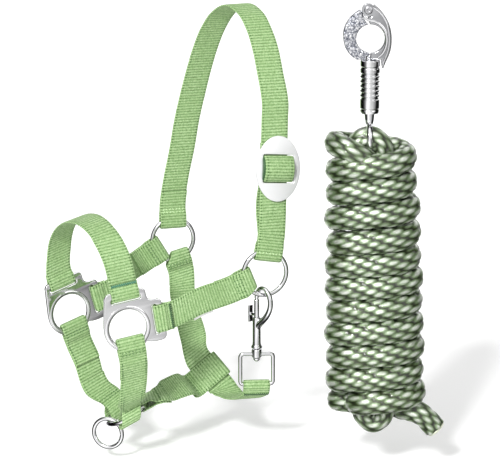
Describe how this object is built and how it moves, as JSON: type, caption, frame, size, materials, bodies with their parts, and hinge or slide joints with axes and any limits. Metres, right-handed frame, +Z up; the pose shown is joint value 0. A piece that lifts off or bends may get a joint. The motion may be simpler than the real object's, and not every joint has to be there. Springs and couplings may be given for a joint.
{
  "type": "webbing head halter with lead rope",
  "caption": "Horse head halter in ribbed green webbing with nickel rings, cheek plates, oval crown slide and throat snap, beside its hanked lead rope with a quick release snap.",
  "frame": {"origin": "inner face of the crown strap at its top, where it lies on the horse's poll", "axes": "+Z up, -Y the way the horse faces, +X the horse's near (left) side"},
  "size_m": [0.2822, 0.2679, 0.4103],
  "materials": {
    "green_webbing": "ribbed woven nylon, matt with a slight sheen",
    "white_tape": "woven tape",
    "bright_nickel": "polished nickel plate",
    "spring_steel": "bright drawn wire",
    "sage_rope": "braided rope with a silky sheen"
  },
  "bodies": {
    "halter": {"crown_strap": "green_webbing", "noseband": "green_webbing", "near_cheek_strap": "green_webbing", "far_cheek_strap": "green_webbing", "near_chin_strap": "green_webbing", "far_chin_strap": "green_webbing", "connector_strap": "green_webbing", "throat_strap": "green_webbing", "near_plate": "bright_nickel", "far_plate": "bright_nickel", "square_eye": "bright_nickel", "woven_tag": "white_tape"},
    "near_ring": {"near_ring": "bright_nickel"},
    "far_ring": {"far_ring": "bright_nickel"},
    "chin_ring": {"chin_ring": "bright_nickel"},
    "lead_ring": {"lead_ring": "bright_nickel"},
    "crown_slide": {"crown_slide": "bright_nickel", "slide_strap_hump": "green_webbing"},
    "bolt_snap": {"snap_body": "bright_nickel", "snap_swivel_rivet": "bright_nickel", "snap_bolt_spring": "spring_steel"},
    "bolt": {"snap_bolt": "bright_nickel"},
    "lead_rope": {"lead_rope_hank": "sage_rope", "lead_rope_eye": "sage_rope", "lead_rope_tail": "sage_rope", "panic_swivel_eye": "bright_nickel"},
    "quick_release": {"panic_body": "bright_nickel", "panic_pivot_rivet": "bright_nickel", "panic_sleeve_spring": "spring_steel"},
    "release_sleeve": {"panic_sleeve": "bright_nickel"},
    "release_jaw": {"panic_jaw": "bright_nickel"}
  },
  "joints": [
    {"name": "near_ring_spin", "type": "hinge", "parent": "halter", "child": "near_ring", "pos_m": [0.072, -0.02, -0.23], "axis": [0.9537, -0.3007, 0], "continuous": true},
    {"name": "far_ring_spin", "type": "hinge", "parent": "halter", "child": "far_ring", "pos_m": [-0.072, -0.024, -0.227], "axis": [0.9537, -0.3007, 0], "continuous": true},
    {"name": "chin_ring_turn", "type": "hinge", "parent": "halter", "child": "chin_ring", "pos_m": [0, -0.1219, -0.36], "axis": [-0.2185, -0.4025, 0.889], "range_deg": [-10, 10]},
    {"name": "lead_ring_swing", "type": "hinge", "parent": "chin_ring", "child": "lead_ring", "pos_m": [-0.00581, -0.13885, -0.3691], "axis": [-0.9321, 0.3559, -0.068], "range_deg": [-20, 20]},
    {"name": "crown_slide_travel", "type": "slide", "parent": "halter", "child": "crown_slide", "axis": [-0.131, 0.12, 0.9841], "range_m": [-0.02, 0.017]},
    {"name": "throat_snap_swivel", "type": "hinge", "parent": "halter", "child": "bolt_snap", "pos_m": [0.0647, -0.0238, -0.3011], "axis": [0, 0, 1], "range_deg": [-20, 20]},
    {"name": "snap_bolt_slide", "type": "slide", "parent": "bolt_snap", "child": "bolt", "axis": [0, 0, -1], "range_m": [0, 0.008], "stiffness_N_per_m": 500, "springref_m": -0.004, "deforming": ["snap_bolt_spring"]},
    {"name": "lead_rope_carry", "type": "slide", "parent": "halter", "child": "lead_rope", "axis": [0.5736, 0.8192, 0], "range_m": [0, 0.25]},
    {"name": "quick_release_swivel", "type": "hinge", "parent": "lead_rope", "child": "quick_release", "pos_m": [0.15433, 0.0314, -0.07], "axis": [0, 0, 1], "continuous": true},
    {"name": "release_sleeve_slide", "type": "slide", "parent": "quick_release", "child": "release_sleeve", "axis": [0, 0, -1], "range_m": [0, 0.009], "stiffness_N_per_m": 600, "springref_m": -0.004, "deforming": ["panic_sleeve_spring"]},
    {"name": "release_jaw_hinge", "type": "hinge", "parent": "quick_release", "child": "release_jaw", "pos_m": [0.15313, 0.02968, 0.0111], "axis": [0.8192, -0.5736, 0], "range_deg": [0, 62]}
  ],
  "couplings": [
    {"joint": "release_jaw_hinge", "follows": "release_sleeve_slide", "rad_per_m": 116}
  ]
}
